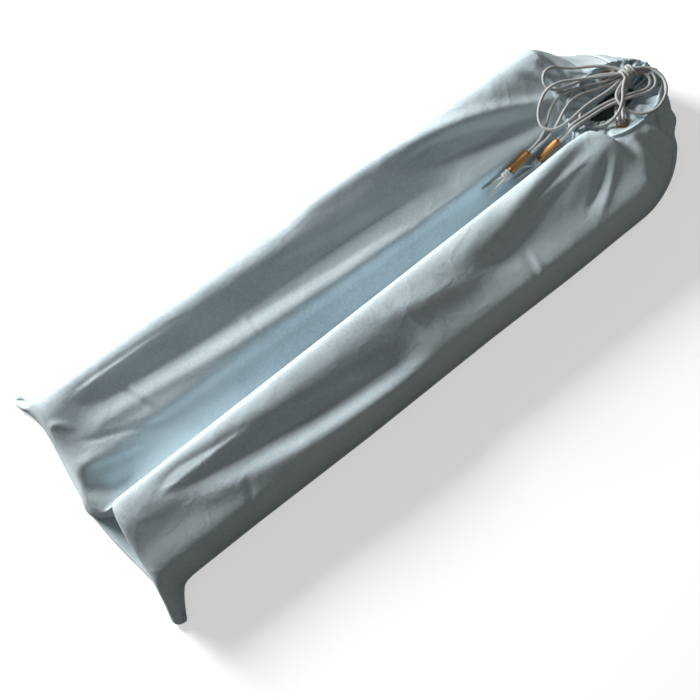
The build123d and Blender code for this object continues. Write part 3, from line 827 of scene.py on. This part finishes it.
def outward(skin):
    """The direction out of the bag at every point."""
    along = np.gradient(skin, axis=0)
    ringwise = np.roll(skin[:, :-1], -1, axis=1) - np.roll(skin[:, :-1], 1, axis=1)
    ringwise = np.concatenate((ringwise, ringwise[:, :1]), axis=1)
    normal = np.cross(ringwise, along)
    return -normal / np.maximum(np.linalg.norm(normal, axis=2), 1e-9)[:, :, None]


out = outward(skin)
lift = sum(fold_lift(skin, *fold) for fold in folds)
lift = lift * np.clip((skin[:, :, 2] - 0.008) / 0.02, 0, 1)
skin = skin + out * lift[:, :, None]
angle_of_place = np.interp(columns % 22, np.arange(23), ring_of_mouth(0, 0)[1] + [-mouth_turn])
neck_share = np.clip((np.arange(len(skin)) - end_rows - body_rows) / neck_rows, -0.5, 1)
fade = np.clip((neck_share + 0.5) / 1.5, 0, 1)[:, None] ** 1.9
depth = gather_depth(angle_of_place)[None, :] * fade
skin = skin - out * depth[:, :, None]
upper = slice(0, top_columns + 1)
skin[:, upper, 2] = np.maximum(skin[:, upper, 2], racks_below(skin)[:, upper])
under_racks = (skin[:, :, 0] < rack_right + 0.014) & (skin[:, :, 2] < 0.0015)
skin[:, :, 2] = np.where(under_racks, resting_height, np.maximum(skin[:, :, 2], resting_height))


def panel(name, first_column, last_column, node):
    """One panel of the bag, with the thickness of its cloth."""
    part = skin[:, first_column:last_column + 1]
    piece = finished(name, laid_grid(part, repeat=(0.62, 0.3)), suede)
    thick = piece.modifiers.new("cloth", "SOLIDIFY")
    thick.thickness = cloth
    thick.offset = -1
    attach(piece, "bag")
    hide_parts(node)
    return piece


front_panel = panel("front_cloth", 0, top_columns, "front_panel")
back_panel = panel("back_cloth", top_columns, top_columns + floor_columns, "back_panel")


# Hem: the end of the cloth, folded in and sewn down as a tunnel for the two drawcords,
# and drawn up to an oval round the mouth.
hem_width, hem_drop, hem_thickness = 0.020, 0.007, 0.007
eyelet_angles = {"a": 72, "b": -104}
hem_round, hem_profile = 420, 44


def hem_point(angle, share, drop):
    """A point in the smooth hem, at an angle in degrees round the mouth."""
    turn = math.radians(angle)
    return Vector((
        mouth.x + (mouth_half_length - hem_width * share) * math.cos(turn),
        mouth.y + (mouth_half_width - hem_width * share) * math.sin(turn),
        mouth.z - hem_drop * share - drop,
    ))


def hem_rows():
    """The hem's closed section, carried round the mouth and drawn into its gathers."""
    rows = []
    for angle in np.linspace(0, 360, hem_round + 1):
        draw = float(gather_depth(angle))
        near_eyelet = min(abs((angle - place + 180) % 360 - 180) for place in eyelet_angles.values())
        calm = 1 - math.exp(-((near_eyelet / 11) ** 4))
        row = []
        for step in range(hem_profile):
            part = step / hem_profile
            if part < 0.46:
                share, drop = part / 0.46, 0
            elif part < 0.54:
                share, drop = 1, (part - 0.46) / 0.08
            else:
                share, drop = 1 - (part - 0.54) / 0.46, 1
            puff = math.sin(math.pi * share) * (1 if drop == 0 else 0.5 if drop == 1 else 0)
            curl = math.sin(math.pi * drop) * 0.0016 if 0 < drop < 1 else 0
            point = hem_point(angle, share + curl / hem_width, hem_thickness * drop)
            rise = 0.0010 * puff * calm - draw * calm * (0.85 + 0.5 * math.sin(math.pi * share))
            inward = (Vector((mouth.x, mouth.y, point.z)) - point).normalized()
            if drop == 0:
                point.z += rise
            elif drop == 1:
                point.z -= 0.0006 * puff
            else:
                point.z += rise * (1 - drop)
            point -= inward * draw * calm * 0.35 * share * (1 - drop * 0.6)
            row.append(point)
        rows.append(row + [row[0]])
    rows[-1] = rows[0]
    return rows


hem = finished("hem", laid_grid(hem_rows(), repeat=(0.5, 0.06)), suede)
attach(hem, "bag")
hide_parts("mouth_casing")


# Stitching: one row of lockstitch in matching thread, where the hem is sewn down.
thread_thickness = 0.00055
stitch_length = 0.0026
stitch_count = 92
thread_colour = (0.42, 0.50, 0.54, 1)

thread, nodes, links, surface, place = new_material("thread")
set_inputs(surface, Roughness=0.6, Sheen_Weight=0.2)
ply = nodes.new("ShaderNodeTexWave")
set_inputs(ply, Scale=700, Distortion=1.5)
links.new(place.outputs["Object"], ply.inputs["Vector"])
tint(nodes, links, ply.outputs["Fac"], surface, darker(thread_colour, 0.7), thread_colour)

stitches = bmesh.new()
for number in range(stitch_count):
    angle = 360 * number / stitch_count
    here, ahead = (hem_point(angle + turn, 0.035, -0.0013) for turn in (-0.4, 0.4))
    middle = here.lerp(ahead, 0.5)
    middle.z -= float(gather_depth(angle)) * 0.9
    made = bmesh.ops.create_uvsphere(stitches, u_segments=8, v_segments=6, radius=0.5)
    stretch = Matrix.Diagonal((thread_thickness, thread_thickness, stitch_length, 1))
    lie = (ahead - here).to_track_quat("Z", "Y").to_matrix().to_4x4()
    bmesh.ops.transform(stitches, matrix=Matrix.Translation(middle) @ lie @ stretch, verts=made["verts"])
stitching = finished("stitching", stitches, thread)
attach(stitching, "bag")


# Drawcords: each runs once round the hem inside its tunnel, in and out at one eyelet,
# and both its ends go into the bow knot.
eyelet_stand, eyelet_spread = 0.0038, 0.00155
drawcord_lanes = {"a": 0.28, "b": 0.7}
eyelet_twists = {"a": -60, "b": 0}
lead_routes = {
    "a": (
        [(0.2742, 0.018, 0.0503), (0.2805, 0.0152, 0.05)],
        [(0.2748, 0.0156, 0.0504), (0.2784, 0.0136, 0.0502)],
    ),
    "b": (
        [(0.258, -0.013, 0.048), (0.267, -0.0056, 0.047), (0.276, 0.0024, 0.048)],
        [(0.252, -0.011, 0.0474), (0.262, -0.002, 0.0466), (0.272, 0.0039, 0.0472), (0.2775, 0.005, 0.0478)],
    ),
}


def drawcord_route(letter):
    """A drawcord's route: bow, eyelet, once round the hem, eyelet, bow."""
    angle, lane = eyelet_angles[letter], drawcord_lanes[letter]
    origin = hem_point(angle, 0.5, 0)
    round_mouth = (hem_point(angle + 1, 0.5, 0) - hem_point(angle - 1, 0.5, 0)).normalized()
    inward = hem_point(angle, 0.6, 0) - hem_point(angle, 0.4, 0)
    normal = -inward.cross(round_mouth).normalized()
    third = normal.cross(round_mouth)
    ends = []
    for side in (1, -1):
        for turn, rise in ((math.radians(eyelet_twists[letter]), eyelet_stand), (0, -hem_thickness * 0.45)):
            offset = round_mouth * math.cos(turn) + third * math.sin(turn)
            ends.append(tuple(origin + offset * side * eyelet_spread + normal * rise))
    first, last = lead_routes[letter]
    inside = [tuple(hem_point(angle + turn, lane, hem_thickness / 2)) for turn in range(24, 340, 24)]
    return list(reversed(first)) + ends[:2] + inside + [ends[3], ends[2]] + list(last)


for letter in "ab":
    points = smooth_line(f"drawcord_{letter}", drawcord_route(letter))
    shape = braided_tube(points, cord_diameter / 2)
    drawcord = finished(f"drawcord_{letter}_cord", shape, cord_braid)
    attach(drawcord, "bag")
    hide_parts(f"drawcord_{letter}")


# Racks, pushers and pins: moulded bone-coloured plastic with a soft gloss, and steel pins.
# They are inside the bag and show only through the mouth.
def plastic_material(name, colour, roughness):
    """Moulded plastic whose colour and gloss vary in faint clouds."""
    material, nodes, links, surface, _ = new_material(name)
    set_inputs(surface, Coat_Weight=0.2)
    make_uneven(
        nodes, links, surface, Dark=darker(colour, 0.9), Light=colour, Scale=40,
        Low=0, High=1, Smooth=roughness, Rough=roughness + 0.2,
    )
    return material


rack_plastic = plastic_material("rack_plastic", (0.76, 0.72, 0.60, 1), 0.25)
pusher_plastic = plastic_material("pusher_plastic", (0.72, 0.66, 0.52, 1), 0.22)
pin_steel = metal_material("pin_steel", (0.62, 0.62, 0.61, 1), 0.3, 400)
eyelet_brass = metal_material("eyelet_brass", (0.62, 0.33, 0.17, 1), 0.22, 700)
finishes = {
    "rack_plastic": rack_plastic, "pusher_plastic": pusher_plastic,
    "pin_metal": pin_steel, "eyelet_brass": eyelet_brass,
}
for entry in frame["record"]["subparts"]:
    if entry["material_slot"] in finishes:
        node = frame["nodes"][entry["node"]]
        for slot in node.material_slots:
            slot.material = finishes[entry["material_slot"]]


# Table and light: a plain pale table, a large soft lamp over the far side of the bag, a
# weaker one on the near side and an even pale surround.
table_size = 6
bpy.ops.mesh.primitive_plane_add(size=table_size, location=(0, 0, -resting_height))
table = bpy.context.object
table.name = "table"
table_white = bpy.data.materials.new("table_white")
table_white.use_nodes = True
nodes, links = table_white.node_tree.nodes, table_white.node_tree.links
table_surface = nodes["Principled BSDF"]
table_surface.inputs["Roughness"].default_value = 0.9
table_surface.inputs["Emission Color"].default_value = (1, 1, 1, 1)
seen = nodes.new("ShaderNodeLightPath")
paleness = nodes.new("ShaderNodeMapRange")
paleness.inputs["To Min"].default_value = 0.26
paleness.inputs["To Max"].default_value = 0.93
links.new(seen.outputs["Is Camera Ray"], paleness.inputs["Value"])
links.new(paleness.outputs["Result"], table_surface.inputs["Base Color"])
glow = nodes.new("ShaderNodeMath")
glow.operation = "MULTIPLY"
glow.inputs[1].default_value = 0.5
links.new(seen.outputs["Is Camera Ray"], glow.inputs[0])
links.new(glow.outputs["Value"], table_surface.inputs["Emission Strength"])
table.data.materials.append(table_white)


def lamp(name, place, aim, size, power, colour):
    """A square soft lamp aimed at a point."""
    light = bpy.data.lights.new(name, "AREA")
    light.size = size
    light.energy = power
    light.color = colour
    holder = bpy.data.objects.new(name, light)
    bpy.context.scene.collection.objects.link(holder)
    holder.location = place
    holder.rotation_euler = (Vector(aim) - Vector(place)).to_track_quat("-Z", "Y").to_euler()


lamp("key", (-0.3, 1.05, 0.5), (0, 0, 0.02), 0.4, 28, (1, 0.995, 0.97))
lamp("fill", (0.4, -1.1, 0.5), (0, 0, 0.02), 1.0, 0.6, (1, 0.82, 0.66))
world = bpy.data.worlds.new("surround")
bpy.context.scene.world = world
world.use_nodes = True
world.node_tree.nodes["Background"].inputs["Color"].default_value = (1, 0.98, 0.94, 1)
world.node_tree.nodes["Background"].inputs["Strength"].default_value = 0.12

bpy.context.scene.view_settings.view_transform = "Standard"
